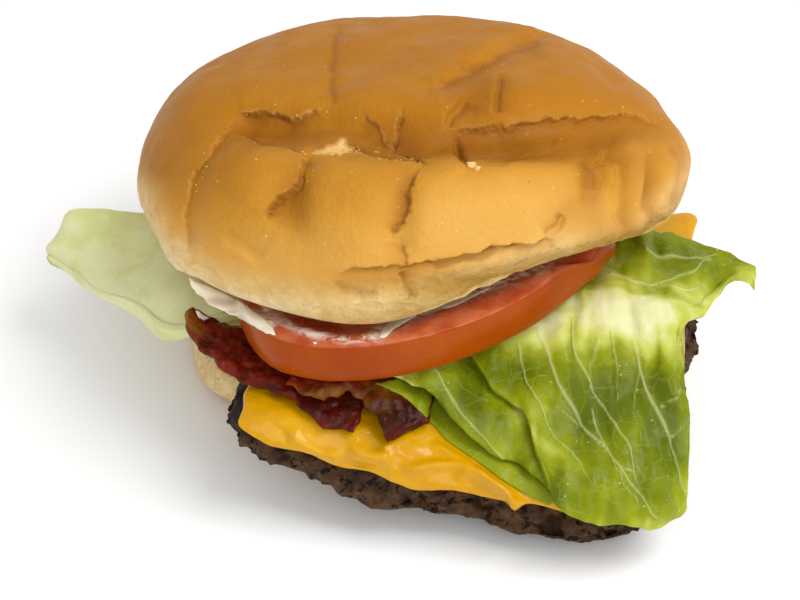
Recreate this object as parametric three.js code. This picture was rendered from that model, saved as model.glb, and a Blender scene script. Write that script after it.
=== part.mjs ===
// A bacon cheeseburger on a square patty, each layer a closed solid stacked on the one below.
// Units are millimetres. +Z is up, -Y faces the eater and +X is on the eater's right.
// The origin is the centre of the bottom bun's flat underside, where the burger stands.
import * as THREE from "three";

const DEGREE = Math.PI / 180;
const TURN = Math.PI * 2;

// Air left between two layers that lie on each other.
const GAP = 0.45;

const HEEL = { radius: 53, height: 11.4, foot: 48.5 };
// The filling hangs down past the bottom bun towards the front right.
const DROOP = { depth: 9, start: 38, length: 38, heading: -65 * DEGREE };
const PATTY = { x: 7.5, y: -26, turn: -10 * DEGREE, half: 41.3, thickness: 9.6, shoulder: 2.2 };
const CHEESE = {
  x: 8.4,
  y: -31.3,
  turn: -8 * DEGREE,
  half: 40,
  thickness: 2.3,
  bend: 85 * DEGREE,
  cornerMelt: 0.1,
};
const BACON = { thickness: 1.9 };
const TOMATO = {
  x: -1,
  y: -32,
  long: 38.5,
  front: 23.6,
  back: 33,
  turn: 31 * DEGREE,
  floor: 30.4,
  rise: [0.06, -0.05],
  bend: 0.003,
  thickness: 7.2,
};
const LEAF = { rib: 2.2, blade: 1.2 };
const CROWN = {
  x: -4.6,
  y: -8.9,
  z: 43.5,
  radius: 52,
  widen: 0.036,
  lift: 6.5,
  hang: 1.6,
  dome: 23.4,
  fullness: 0.614,
  side: 9.25,
  rise: [0.041, -0.2],
};

const clamp = (t) => Math.min(1, Math.max(0, t));
const smooth = (t) => clamp(t) ** 2 * (3 - 2 * clamp(t));
const mix = (a, b, t) => a + (b - a) * t;
const spread = (count, from, to) =>
  Array.from({ length: count }, (_, i) => mix(from, to, i / (count - 1)));
const ringOf = (count, point) => Array.from({ length: count }, (_, i) => point((TURN * i) / count));

// A smooth curve through named sizes: keys are [where, size] pairs in rising order.
function along(keys, x) {
  const last = keys.length - 1;
  if (x <= keys[0][0]) return keys[0][1];
  if (x >= keys[last][0]) return keys[last][1];
  let i = 0;
  while (x > keys[i + 1][0]) i++;
  const slope = (j) => {
    if (j <= 0 || j >= last) return 0;
    return (keys[j + 1][1] - keys[j - 1][1]) / (keys[j + 1][0] - keys[j - 1][0]);
  };
  const width = keys[i + 1][0] - keys[i][0];
  const t = (x - keys[i][0]) / width;
  const rise = keys[i + 1][1] - keys[i][1];
  const ends = t * (1 - t) * ((1 - t) * (slope(i) * width - rise) - t * (slope(i + 1) * width - rise));
  return keys[i][1] + rise * t + ends;
}

// Smooth, repeatable unevenness of about 1 at a given spacing, from a few crossed waves.
function unevenness(x, y, z, spacing, seed) {
  const headings = [0.3, 1.7, 2.9, 4.4, 5.6];
  let sum = 0;
  for (const [i, heading] of headings.entries()) {
    const a = heading + seed * 1.3;
    const way = x * Math.cos(a) + y * Math.sin(a) + z * Math.cos(a * 2.1 + i);
    sum += Math.sin((way * TURN * (1 + 0.37 * i)) / spacing + seed * 5 + i * 2.2) / (1 + 0.5 * i);
  }
  return sum / 1.6;
}

function bodyFrom(points, faces) {
  const geometry = new THREE.BufferGeometry();
  geometry.setAttribute("position", new THREE.Float32BufferAttribute(points.flat(), 3));
  geometry.setIndex(faces);
  geometry.computeVertexNormals();
  return geometry;
}

// A closed body from rings of points, each ring above the last, with a point at both ends.
function ringBody(first, rings, last) {
  const count = rings[0].length;
  const points = [first, ...rings.flat(), last];
  const at = (ring, i) => 1 + ring * count + (i % count);
  const faces = [];
  for (let i = 0; i < count; i++) {
    faces.push(0, at(0, i + 1), at(0, i));
    faces.push(points.length - 1, at(rings.length - 1, i), at(rings.length - 1, i + 1));
    for (let ring = 0; ring + 1 < rings.length; ring++) {
      faces.push(at(ring, i), at(ring, i + 1), at(ring + 1, i + 1));
      faces.push(at(ring, i), at(ring + 1, i + 1), at(ring + 1, i));
    }
  }
  return bodyFrom(points, faces);
}

// A closed thin body from an upper and a lower grid. Columns run to +X and rows to the front.
function sheetBody(upper, lower) {
  const rows = upper.length;
  const cols = upper[0].length;
  const top = (r, c) => r * cols + c;
  const under = (r, c) => rows * cols + top(r, c);
  const faces = [];
  for (let r = 0; r + 1 < rows; r++) {
    for (let c = 0; c + 1 < cols; c++) {
      faces.push(top(r, c), top(r + 1, c), top(r + 1, c + 1));
      faces.push(top(r, c), top(r + 1, c + 1), top(r, c + 1));
      faces.push(under(r, c), under(r + 1, c + 1), under(r + 1, c));
      faces.push(under(r, c), under(r, c + 1), under(r + 1, c + 1));
    }
  }
  const rim = [];
  for (let c = 0; c + 1 < cols; c++) rim.push([0, c]);
  for (let r = 0; r + 1 < rows; r++) rim.push([r, cols - 1]);
  for (let c = cols - 1; c > 0; c--) rim.push([rows - 1, c]);
  for (let r = rows - 1; r > 0; r--) rim.push([r, 0]);
  for (const [i, [r, c]] of rim.entries()) {
    const [r2, c2] = rim[(i + 1) % rim.length];
    faces.push(top(r, c), top(r2, c2), under(r2, c2));
    faces.push(top(r, c), under(r2, c2), under(r, c));
  }
  return bodyFrom([...upper.flat(), ...lower.flat()], faces);
}

// A thin body of a given thickness on both sides of a middle surface of points.
function thickened(middle, thicknessAt) {
  const rows = middle.length;
  const cols = middle[0].length;
  const point = (r, c) => new THREE.Vector3(...middle[r][c]);
  const face = (side) =>
    middle.map((row, r) =>
      row.map((_, c) => {
        const right = point(r, Math.min(c + 1, cols - 1)).sub(point(r, Math.max(c - 1, 0)));
        const back = point(Math.max(r - 1, 0), c).sub(point(Math.min(r + 1, rows - 1), c));
        const normal = right.cross(back).normalize();
        const half = thicknessAt(...middle[r][c]) / 2;
        return point(r, c).addScaledVector(normal, side * half).toArray();
      }),
    );
  return sheetBody(face(1), face(-1));
}

function droop(x, y) {
  const ahead = x * Math.cos(DROOP.heading) + y * Math.sin(DROOP.heading);
  return DROOP.depth * smooth((ahead - DROOP.start) / DROOP.length);
}

// Bottom bun: a flat foot, a rounded crust and a soft cut face that the filling presses down.
function makeHeel() {
  const outline = (a) => HEEL.radius * (1 + 0.006 * Math.cos(2 * a + 0.6) + 0.004 * Math.cos(3 * a));
  const place = (a, share, z) => {
    const x = outline(a) * share * Math.cos(a);
    const y = outline(a) * share * Math.sin(a);
    return [x, y, z - droop(x, y) * smooth(z / HEEL.height)];
  };
  const profile = [
    [0.5, 0],
    [HEEL.foot / HEEL.radius, 0],
    [0.95, 0.9],
    [0.99, 3],
    [1, 5.6],
    [0.995, 9],
    [0.98, 11.2],
    [0.945, HEEL.height],
    [0.85, HEEL.height],
    [0.74, HEEL.height],
    [0.6, HEEL.height],
    [0.3, HEEL.height],
  ];
  const rings = profile.map(([share, z]) => ringOf(38, (a) => place(a, share, z)));
  return ringBody([0, 0, 0], rings, place(0, 0, HEEL.height));
}

// The patty's edge: a rounded square with two sharper corners.
function pattyEdge(angle) {
  const a = angle - PATTY.turn;
  const squareness = 8.5 + 3 * Math.sin(2 * a);
  const reach = Math.abs(Math.cos(a)) ** squareness + Math.abs(Math.sin(a)) ** squareness;
  return (PATTY.half * (1 + 0.006 * Math.sin(7 * a))) / reach ** (1 / squareness);
}

const pattyFloor = HEEL.height + 1.3 * GAP;
const pattyTop = pattyFloor + PATTY.thickness;

// Patty: ground beef with craggy sides, flat where the cheese lies on it.
function makePatty() {
  const around = 46;
  const place = (a, r, up, rough) => {
    const crag = rough * (unevenness(r * Math.cos(a), r * Math.sin(a), up * 3, 13, 3) - 0.2);
    const x = PATTY.x + (r + crag) * Math.cos(a);
    const y = PATTY.y + (r + crag) * Math.sin(a);
    return [x, y, pattyFloor + up - droop(x, y)];
  };
  const side = [
    [-5, 0, 0.3],
    [-0.6, 0.2, 0.9],
    [1.6, 1.4, 1],
    [2.3, 2.9, 1.1],
    [1.6, 4.4, 1],
    [0, PATTY.thickness - PATTY.shoulder - 1.2, 0.3],
    [-0.3 * PATTY.shoulder, PATTY.thickness - 0.3 * PATTY.shoulder, 0.4],
    [-PATTY.shoulder, PATTY.thickness, 0],
  ];
  const flat = [0.3, 0.5, 0.65, 0.78, 0.88];
  const rings = [
    ...flat.map((share) => ringOf(around, (a) => place(a, share * pattyEdge(a), 0, 0))),
    ...side.map(([out, up, rough]) => ringOf(around, (a) => place(a, pattyEdge(a) + out, up, rough))),
    ...flat.toReversed().map((share) =>
      ringOf(around, (a) => place(a, share * pattyEdge(a), PATTY.thickness, 0)),
    ),
  ];
  return ringBody(place(0, 0, 0, 0), rings, place(0, 0, PATTY.thickness, 0));
}

const cheeseTop = pattyTop + GAP + CHEESE.thickness;
const bendEdge = (angle) => pattyEdge(angle) - PATTY.shoulder + 0.8;

// Cheese: a square slice that bends down over the patty's edge where it reaches past it.
function makeCheese() {
  const turn = [Math.cos(CHEESE.turn), Math.sin(CHEESE.turn)];
  const radius = PATTY.shoulder + GAP + CHEESE.thickness / 2;
  const drape = (u, v, above) => {
    const flatX = CHEESE.x + u * turn[0] - v * turn[1] - PATTY.x;
    const flatY = CHEESE.y + u * turn[1] + v * turn[0] - PATTY.y;
    const a = Math.atan2(flatY, flatX);
    const edge = bendEdge(a);
    const past = Math.max(0, Math.hypot(flatX, flatY) - edge);
    const bent = Math.min(past / radius, CHEESE.bend);
    const hang = past - bent * radius;
    const reach = (PATTY.shoulder + above) * Math.sin(bent) + hang * Math.cos(CHEESE.bend);
    const r = past > 0 ? edge + reach : Math.hypot(flatX, flatY);
    const drop = (PATTY.shoulder + above) * (1 - Math.cos(bent)) + hang * Math.sin(CHEESE.bend);
    const x = PATTY.x + r * Math.cos(a);
    const y = PATTY.y + r * Math.sin(a);
    return [x, y, pattyTop + above - drop - droop(x, y)];
  };
  const columns = spread(19, -1, 1).map((t) => Math.sign(t) * Math.abs(t) ** 0.8);
  const flatRows = [1, 0.82, 0.6, 0.4, 0.22, 0.08, -0.06, -0.2, -0.34, -0.48, -0.6, -0.7];
  const rows = [...flatRows, -0.78, -0.84, -0.88, -0.92, -0.96, -1];
  const melt = (u) => 0.8 * Math.sin(u * 7.1) + 0.6 * Math.sin(u * 16 + 1);
  const grid = (above) =>
    rows.map((v) =>
      columns.map((u) => {
        const flow = v < 0 ? melt(u) * v * v : 0;
        const corner = v < 0 ? 1 - CHEESE.cornerMelt * Math.abs(u * v) ** 8 : 1;
        return drape(u * CHEESE.half * corner, (v * CHEESE.half + flow) * corner, above);
      }),
    );
  return sheetBody(grid(GAP + CHEESE.thickness), grid(GAP));
}

const bed = (x, y) => cheeseTop - droop(x, y);

// Moves a point outwards until it is clear of the cheese and its bent edge.
function clearOfCheese([x, y, z], clearance) {
  const a = Math.atan2(y - PATTY.y, x - PATTY.x);
  const edge = bendEdge(a);
  const round = PATTY.shoulder + GAP + CHEESE.thickness;
  const out = Math.max(0, Math.hypot(x - PATTY.x, y - PATTY.y) - edge);
  const up = Math.max(0, z - bed(x, y) + round);
  const far = Math.hypot(out, up);
  if (far >= round + clearance) return [x, y, z];
  const grow = (round + clearance - far) / Math.max(far, 1e-6);
  return [x + out * grow * Math.cos(a), y + out * grow * Math.sin(a), z + up * grow];
}

// Bacon: a thin rasher between a front edge and a back edge, rippled as it crisped.
function makeBacon({ front, back, rest, lift, ripple, waves, seed }) {
  const middle = spread(7, 1, 0).map((t) =>
    spread(26, 0, 1).map((s) => {
      const scallop = 0.5 * Math.sin(s * 60 + seed) + 0.4 * Math.sin(s * 97);
      const x = mix(along(front.x, s), along(back.x, s), t);
      const y = mix(along(front.y, s) + scallop, along(back.y, s), t);
      const wave = ripple * (1.1 - t) * (0.5 + 0.5 * Math.sin(s * waves * TURN + t * 1.8 + seed));
      const rise = along(rest, s) + along(lift, s) * (1 - t) + wave;
      return [x, y, bed(x, y) + GAP + BACON.thickness / 2 + rise];
    }),
  );
  return thickened(middle, () => BACON.thickness * 0.94);
}
const leftRasher = {
  front: {
    x: [[0, -46.5], [0.1, -47.5], [0.3, -42.5], [0.5, -36], [0.7, -28], [0.85, -22], [1, -15]],
    y: [[0, -37], [0.1, -40.5], [0.3, -47.5], [0.5, -54], [0.7, -58], [0.85, -63], [1, -65]],
  },
  back: {
    x: [[0, -42], [0.2, -36], [0.6, -22], [1, -11]],
    y: [[0, -36.8], [0.2, -38.5], [0.6, -40], [1, -50]],
  },
  rest: [[0, 0.1], [1, 0]],
  lift: [[0, 4], [0.15, 2.6], [0.4, 0.3], [1, 0]],
  ripple: 0.45,
  waves: 3,
  seed: 1,
};
const frontRasher = {
  front: {
    x: [[0, -28], [0.2, -22], [0.4, -16], [0.55, -12], [0.75, -7.5], [1, -1]],
    y: [[0, -57], [0.2, -61], [0.4, -59], [0.55, -62], [0.75, -66.5], [1, -59.5]],
  },
  back: {
    x: [[0, -22], [0.5, -11], [1, 0]],
    y: [[0, -38], [0.5, -38], [1, -40]],
  },
  rest: [[0, 2.5], [0.6, 2.5], [0.8, 0.6], [1, 0.1]],
  lift: [[0, 0.4], [0.6, 0.4], [1, 0]],
  ripple: 0.3,
  waves: 2,
  seed: 4,
};

const tomatoFloor = (x, y) =>
  TOMATO.floor +
  TOMATO.rise[0] * (x - TOMATO.x) +
  TOMATO.rise[1] * (y - TOMATO.y) +
  TOMATO.bend * Math.max(0, x - TOMATO.x) ** 2;
function tomatoShare(x, y) {
  const [c, s] = [Math.cos(TOMATO.turn), Math.sin(TOMATO.turn)];
  const [dx, dy] = [x - TOMATO.x, y - TOMATO.y];
  const v = dy * c - dx * s;
  return Math.hypot((dx * c + dy * s) / TOMATO.long, v / (v < 0 ? TOMATO.front : TOMATO.back));
}

// Lettuce leaf: a pale rib on the left, flat under the tomato, and a green blade on the right
// that folds over a ridge and falls in front of the cheese and the patty.
const leafBack = {
  y: [[-79, -5], [-77.5, -4], [-75, -0.5], [-66, -1.5], [-46, -2], [5, 5], [30, -4], [45, -13],
    [52, -16], [58, -21], [61.5, -26]],
  z: [[-80, 20], [-78, 21], [-75, 25], [-68, 27], [-46, 27.5], [5, 26.6], [30, 30], [45, 31], [59, 30.5],
    [61.5, 27.5]],
};
const leafRidge = {
  y: [[-80, -6.5], [-76, -10], [-72, -15], [-65, -21], [-58, -25], [-54, -30], [-48, -33.5], [-40, -34.5],
    [0, -34.5], [6, -41], [14, -41], [22, -39], [28, -37], [36, -39], [46, -41], [48.5, -38], [52, -33],
    [57, -28], [61.5, -28]],
  z: [[-80, 20], [-76, 20], [-65, 21], [-58, 22.3], [-54, 24], [-48, 26], [-40, 27.4], [0, 27.6],
    [14, 30.8], [28, 33], [45, 32.6], [52, 30], [57, 29.5], [61.5, 27]],
};
const leafFall = {
  length: [[4, 1], [6, 8], [8, 13], [13, 19], [15.2, 22], [17.2, 35], [20, 40], [25, 43], [30, 44],
    [38, 42], [42.5, 38], [44, 27], [46, 5], [50, 4], [54, 2], [62, 1]],
  upper: [[6, 24], [22, 27.5], [30, 25.5], [44, 34], [62, 20]],
  lower: [[6, 26], [22, 40], [30, 72], [46, 62], [62, 30]],
};
const leafThickness = (x) => mix(LEAF.rib, LEAF.blade, smooth((x + 52) / 14));
function makeLeaf() {
  const columns = [
    ...spread(15, -79, -8),
    ...spread(5, -3, 7),
    ...spread(18, 9, 42.5),
    44,
    46,
    48,
    50.5,
    53,
    56,
    59,
    61.5,
  ];
  const backRows = spread(8, 0, 1);
  const fallRows = spread(10, 0, 1).slice(1);
  const middle = [...backRows, ...fallRows].map(() => []);
  for (const x of columns) {
    const yBack = along(leafBack.y, x);
    const zBack = along(leafBack.z, x);
    const yRidge = along(leafRidge.y, x);
    const zRidge = along(leafRidge.z, x);
    for (const [i, t] of backRows.entries()) {
      const wave = x > 44 || x < -46 ? 0.7 * unevenness(x, t * 20, 0, 26, 2) : 0;
      const y = mix(yBack, yRidge, t);
      const under = tomatoFloor(x, y) - GAP - leafThickness(x) / 2 - 0.1;
      const z = mix(zBack, zRidge, t) + wave;
      const free = smooth((tomatoShare(x, y) - 1.15) / 0.3);
      middle[i].push([x, y, mix(Math.min(z, under), z, free)]);
    }
    const length = along(leafFall.length, x);
    const steps = 40;
    let [y, z, row] = [yRidge, zRidge, 0];
    for (let step = 1; step <= steps; step++) {
      const run = (step / steps) * length;
      const steep = smooth((run - 32) / 7);
      const down = mix(along(leafFall.upper, x), along(leafFall.lower, x), steep) * smooth(run / 6);
      y -= (Math.cos(down * DEGREE) * length) / steps;
      z -= (Math.sin(down * DEGREE) * length) / steps;
      if (step / steps < fallRows[row] - 1e-6) continue;
      const ripple = 0.8 * unevenness(x, run, 0, 21, 5) * smooth(run / 12);
      const overFold = (GAP + LEAF.blade + 1.4) * smooth((41 - x) / 4) * smooth((x - 1) / 4);
      const point = [x + 0.05 * run, y - 0.4 * ripple, z + 0.6 * ripple];
      middle[backRows.length + row].push(clearOfCheese(point, GAP + LEAF.blade / 2 + 0.3 + overFold));
      row++;
    }
  }
  return thickened(middle, leafThickness);
}

// The leaf's tucked fold: a strip of blade lying on the cheese under the left edge of the leaf.
const foldEdge = {
  x: [[0, -10], [0.2, -2], [0.4, 4], [0.7, 13], [0.85, 16.5], [1, 19.5]],
  y: [[0, -55], [0.2, -58.5], [0.4, -63], [0.7, -67], [0.85, -69], [1, -70.3]],
  z: [[0, 29.5], [0.2, 27.6], [0.35, 24], [0.5, 20], [0.7, 16.5], [0.85, 14.5], [1, 13]],
};
function makeFold() {
  const middle = spread(7, 1, 0).map((t) =>
    spread(22, 0, 1).map((s) => {
      const x = along(foldEdge.x, s) + t * mix(17, 1, s * s);
      const y = along(foldEdge.y, s) + t * mix(9, 0.5, s * s);
      const high = along(foldEdge.z, s);
      const tucked = smooth((x - 1) / 4) * smooth(t / 0.6);
      const z = mix(high, Math.min(high, bed(x, y) + 1.3), tucked) + 0.3 * Math.sin(t * Math.PI * 1.5);
      const clear = GAP + LEAF.blade / 2 + mix(0.25, 0.6, smooth(s * 2 - 1));
      return clearOfCheese([x, y, z], clear);
    }),
  );
  return thickened(middle, () => LEAF.blade);
}

// Tomato: a thick oval slice lying tilted on the lettuce.
function makeTomato() {
  const [c, s] = [Math.cos(TOMATO.turn), Math.sin(TOMATO.turn)];
  const point = (a, share, up) => {
    const bulge = share * (1 + 0.01 * Math.cos(3 * a + 1));
    const u = TOMATO.long * bulge * Math.cos(a);
    const v = (Math.sin(a) < 0 ? TOMATO.front : TOMATO.back) * bulge * Math.sin(a);
    const [x, y] = [TOMATO.x + u * c - v * s, TOMATO.y + u * s + v * c];
    return [x, y, tomatoFloor(x, y) + up * TOMATO.thickness];
  };
  const profile = [
    [0.5, 0],
    [0.96, 0],
    [0.985, 0.08],
    [1, 0.4],
    [1, 0.6],
    [0.985, 0.92],
    [0.96, 1],
    [0.5, 1],
  ];
  const rings = profile.map(([share, up]) => ringOf(42, (a) => point(a, share, up)));
  return ringBody(point(0, 0, 0), rings, point(0, 0, 1));
}

// Top bun: a soft dome tilted back over the filling, its cut face pressed onto the tomato.
// Where its outline stands out or in: share of the radius, heading in degrees, narrowness.
const crownBulges = [
  [-0.085, -62, 10],
  [0.012, -22, 12],
  [-0.06, 46, 5],
  [0.018, 130, 5],
];
const crownPlane = (x, y) => CROWN.z + CROWN.rise[0] * (x - CROWN.x) + CROWN.rise[1] * (y - CROWN.y);
// Creases of the squashed dome. Points are shares of its outline, [right, back].
const crownCreases = [
  { line: [[-0.79, -0.62], [-0.74, -0.54], [-0.62, -0.41], [-0.59, -0.34]], depth: 1.2, width: 1.5 },
  { line: [[-0.59, -0.34], [-0.48, -0.4], [-0.3, -0.45], [-0.17, -0.52]], depth: 1.6, width: 1.8 },
  { line: [[-0.27, 0.43], [-0.27, -0.15], [-0.29, -0.45]], depth: 0.7, width: 1.5 },
  { line: [[-0.62, -0.41], [-0.49, -0.56], [-0.37, -0.66]], depth: 0.7, width: 1.5 },
  { line: [[-0.36, -0.66], [-0.28, -0.66], [-0.19, -0.67]], depth: 2.4, width: 1.8 },
  { line: [[-0.37, -0.68], [-0.4, -0.76], [-0.52, -0.81]], depth: 1.4, width: 1.6 },
  { line: [[-0.19, -0.68], [-0.05, -0.74], [0.04, -0.79]], depth: 1, width: 1.5 },
  { line: [[0.04, -0.79], [0, -0.87], [-0.05, -0.96]], depth: 1.2, width: 1.6 },
  { line: [[0.11, -0.66], [0.39, -0.58], [0.61, -0.43], [0.84, -0.24]], depth: 1.4, width: 1.8 },
  { line: [[0.17, -0.68], [0.19, -0.74], [0.23, -0.78]], depth: 1.2, width: 1.4 },
  { line: [[0.07, -0.36], [0.25, -0.05], [0.56, 0.37]], depth: 0.9, width: 1.8 },
];
// The dent across the top, behind the swollen front edge.
const crownDent = {
  line: [[-0.55, -0.36], [-0.25, -0.52], [0.1, -0.62], [0.45, -0.55], [0.7, -0.4]],
  depth: 2.2,
  width: 7,
};
const crownSwell = {
  line: [[-0.6, -0.62], [-0.2, -0.85], [0.2, -0.87], [0.6, -0.66]],
  depth: -1.1,
  width: 6,
};

// Distance in millimetres from a point of the dome to a line on it.
function distanceTo(line, p, q) {
  let nearest = Infinity;
  for (let i = 0; i + 1 < line.length; i++) {
    const [[x1, y1], [x2, y2]] = [line[i], line[i + 1]];
    const [dx, dy] = [x2 - x1, y2 - y1];
    const t = clamp(((p - x1) * dx + (q - y1) * dy) / (dx * dx + dy * dy));
    nearest = Math.min(nearest, Math.hypot(p - x1 - t * dx, q - y1 - t * dy));
  }
  return nearest * CROWN.radius;
}
function crownRelief(p, q) {
  return [...crownCreases, crownDent, crownSwell].reduce((sum, { line, depth, width }) => {
    return sum - depth * Math.exp(-((distanceTo(line, p, q) / width) ** 2));
  }, 0);
}
function makeCrown() {
  const around = 84;
  const outline = (a) => {
    const uneven = crownBulges.reduce((sum, [size, heading, narrow]) => {
      return sum + size * Math.max(0, Math.cos(a - heading * DEGREE)) ** narrow;
    }, 0);
    return CROWN.radius * (1 + CROWN.widen * Math.cos(2 * a) + uneven);
  };
  const side = (a) => {
    const pushedUp = CROWN.lift * Math.max(0, Math.cos(a + 48 * DEGREE)) ** 6;
    return CROWN.side - pushedUp + CROWN.hang * Math.max(0, Math.cos(a + 108 * DEGREE)) ** 6;
  };
  const place = (a, share, up) => {
    const lean = up * 0.98;
    const x = CROWN.x + outline(a) * share * Math.cos(a) - CROWN.rise[0] * lean;
    const y = CROWN.y + outline(a) * share * Math.sin(a) - CROWN.rise[1] * lean;
    return [x, y, crownPlane(x, y) + up];
  };
  const cutFace = (a, share) => {
    const [x, y, z] = place(a, share, -mix(CROWN.side, side(a), share ** 2));
    const press = 1 - smooth((tomatoShare(x, y) - 1.12) / 0.2);
    const rest = tomatoFloor(x, y) + TOMATO.thickness + 1.5 * GAP;
    return [x, y, mix(z, Math.max(z, rest), press)];
  };
  const rings = [0.3, 0.55, 0.75, 0.87, 0.93].map((share) => ringOf(around, (a) => cutFace(a, share)));
  rings.push(ringOf(around, (a) => place(a, 0.965, -0.75 * side(a))));
  rings.push(ringOf(around, (a) => place(a, 0.985, -0.4 * side(a))));
  const domePoint = (a, share) => {
    const flat = share ** (1 / CROWN.fullness);
    const high = Math.sqrt(1 - flat * flat);
    const relief = crownRelief(share * Math.cos(a), share * Math.sin(a));
    return place(a, share + (relief * flat) / CROWN.radius, (CROWN.dome + relief) * high);
  };
  const shares = [1, 0.995, 0.98, 0.955, 0.925, 0.89, 0.85, 0.81, 0.77, 0.73, 0.69, 0.65, 0.6, 0.54];
  shares.push(0.47, 0.38, 0.26, 0.13);
  for (const share of shares) rings.push(ringOf(around, (a) => domePoint(a, share)));
  return ringBody(cutFace(0, 0), rings, domePoint(0, 0));
}

function piece(name, geometry, colour, roughness) {
  const material = new THREE.MeshStandardMaterial({ color: colour, roughness, metalness: 0 });
  const mesh = new THREE.Mesh(geometry, material);
  mesh.name = name;
  return mesh;
}

const burger = new THREE.Group();
burger.add(piece("heel", makeHeel(), "#dcc08a", 0.85));
burger.add(piece("patty", makePatty(), "#4a3327", 0.75));
burger.add(piece("cheese", makeCheese(), "#eeb023", 0.4));
burger.add(piece("bacon_left", makeBacon(leftRasher), "#6a1f16", 0.45));
burger.add(piece("bacon_front", makeBacon(frontRasher), "#84361c", 0.45));
burger.add(piece("lettuce_fold", makeFold(), "#8f9f3e", 0.45));
burger.add(piece("lettuce_leaf", makeLeaf(), "#a9bb52", 0.45));
burger.add(piece("tomato", makeTomato(), "#c85a22", 0.35));
burger.add(piece("crown", makeCrown(), "#c98b45", 0.6));

export default burger;
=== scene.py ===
import math
import random

import bpy
import numpy as np
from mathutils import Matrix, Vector, noise
from mathutils.bvhtree import BVHTree


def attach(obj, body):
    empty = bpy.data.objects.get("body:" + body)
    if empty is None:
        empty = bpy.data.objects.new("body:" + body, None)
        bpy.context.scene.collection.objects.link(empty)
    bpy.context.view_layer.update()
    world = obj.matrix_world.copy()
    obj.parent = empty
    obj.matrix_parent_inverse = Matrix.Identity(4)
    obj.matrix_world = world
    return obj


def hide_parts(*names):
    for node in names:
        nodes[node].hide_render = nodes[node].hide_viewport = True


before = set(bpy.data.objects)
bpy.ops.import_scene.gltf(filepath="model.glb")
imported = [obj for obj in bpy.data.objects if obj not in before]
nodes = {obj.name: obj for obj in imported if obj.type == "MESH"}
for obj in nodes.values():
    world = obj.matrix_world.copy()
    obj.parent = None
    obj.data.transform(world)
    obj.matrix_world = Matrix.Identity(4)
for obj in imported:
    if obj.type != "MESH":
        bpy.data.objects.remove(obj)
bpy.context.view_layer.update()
MM = 0.001
NOISE_SEED = 2
noise.seed_set(NOISE_SEED)

# The eye of the photograph: its place in metres, how far it looks down, and its lens.
EYE = np.array((-0.007, -0.3312, 0.262))
LOOK_DOWN = math.radians(38)
LENS_MM = 88.92
SENSOR_MM = 36.0
PICTURE_WIDTH = 800
PICTURE_HEIGHT = 600
FOCAL_PIXELS = LENS_MM / SENSOR_MM * PICTURE_WIDTH
LOOKING = np.array((0, math.cos(LOOK_DOWN), -math.sin(LOOK_DOWN)))
UPWARDS = np.array((0, math.sin(LOOK_DOWN), math.cos(LOOK_DOWN)))
RIGHTWARDS = np.array((1.0, 0, 0))
PIXELS_PER_MM = 5.2
# A thin film: how deep its rim is sunk in what it lies on, how far its underside lies beneath its face,
# and the width of its cells in picture pixels.
FILM_SUNK = 0.1 * MM
FILM_BACKING = 0.45 * MM
FILM_CELL = 1.3


# Places in the photograph

def picture_places(points):
    """The picture place, in pixels, of each point of the object."""
    from_eye = points - EYE
    depth = from_eye @ LOOKING
    across = PICTURE_WIDTH / 2 + FOCAL_PIXELS * (from_eye @ RIGHTWARDS) / depth
    down = PICTURE_HEIGHT / 2 - FOCAL_PIXELS * (from_eye @ UPWARDS) / depth
    return np.stack([across, down], 1)


def sight(across, down):
    """The direction from the eye through a picture place."""
    way = (
        LOOKING * FOCAL_PIXELS
        + RIGHTWARDS * (across - PICTURE_WIDTH / 2)
        + UPWARDS * (PICTURE_HEIGHT / 2 - down)
    )
    return Vector(way / np.linalg.norm(way))


def smooth(t):
    """An even rise from 0 to 1, with soft ends."""
    t = np.clip(t, 0, 1)
    return t * t * (3 - 2 * t)


def fading(share, span):
    """1 along a line, and fading to 0 over this share of it at both ends."""
    return smooth(share / span) * smooth((1 - share) / span)


def bell(distance, width):
    """1 on a line, and falling softly to 0 beyond this width."""
    return np.exp(-((distance / width) ** 2))


def beside(seen, line):
    """Each place's distance to a line, which side it lies on, and how far along the line it is."""
    distance = np.full(len(seen), 1e9)
    side = np.zeros(len(seen))
    share = np.zeros(len(seen))
    run = 0.0
    for start, end in zip(line, line[1:]):
        start = np.array(start, float)
        step = np.array(end, float) - start
        length = np.hypot(*step)
        away = seen - start
        t = np.clip(away @ step / length**2, 0, 1)
        off = away - t[:, None] * step
        far = np.hypot(off[:, 0], off[:, 1])
        nearer = far < distance
        distance[nearer] = far[nearer]
        side[nearer] = np.sign(step[0] * away[:, 1] - step[1] * away[:, 0])[nearer]
        share[nearer] = (run + t * length)[nearer]
        run += length
    return distance, side, share / run


def inside(seen, outline):
    """True for each place inside a closed outline."""
    x, y = seen[:, 0], seen[:, 1]
    held = np.zeros(len(seen), bool)
    for (x1, y1), (x2, y2) in zip(outline, outline[1:] + outline[:1]):
        crosses = (y1 > y) != (y2 > y)
        held ^= crosses & (x < (x2 - x1) * (y - y1) / (y2 - y1 + 1e-9) + x1)
    return held


def spot(seen, across, down, wide, high):
    """A soft round patch of the picture, 1 in its middle."""
    reach = ((seen[:, 0] - across) / wide) ** 2 + ((seen[:, 1] - down) / high) ** 2
    return np.exp(-reach)


def drawn(seen, lines):
    """Soft strokes, 1 in their middles, along lines of the picture. Each has its width in pixels."""
    strokes = np.zeros(len(seen))
    for line, width in lines:
        strokes = np.maximum(strokes, bell(beside(seen, line)[0], width))
    return strokes


def pulled(seen, pulls):
    """How far each place is drawn out in the picture's plane, in metres.

    A pull is a soft round patch, across, down, half width and half height in pixels, and how far it
    moves right and up in millimetres."""
    moved = np.zeros((len(seen), 3))
    for across, down, wide, high, right, up in pulls:
        way = right * RIGHTWARDS + up * UPWARDS
        moved += spot(seen, across, down, wide, high)[:, None] * way * MM
    return moved


# Meshes

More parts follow.
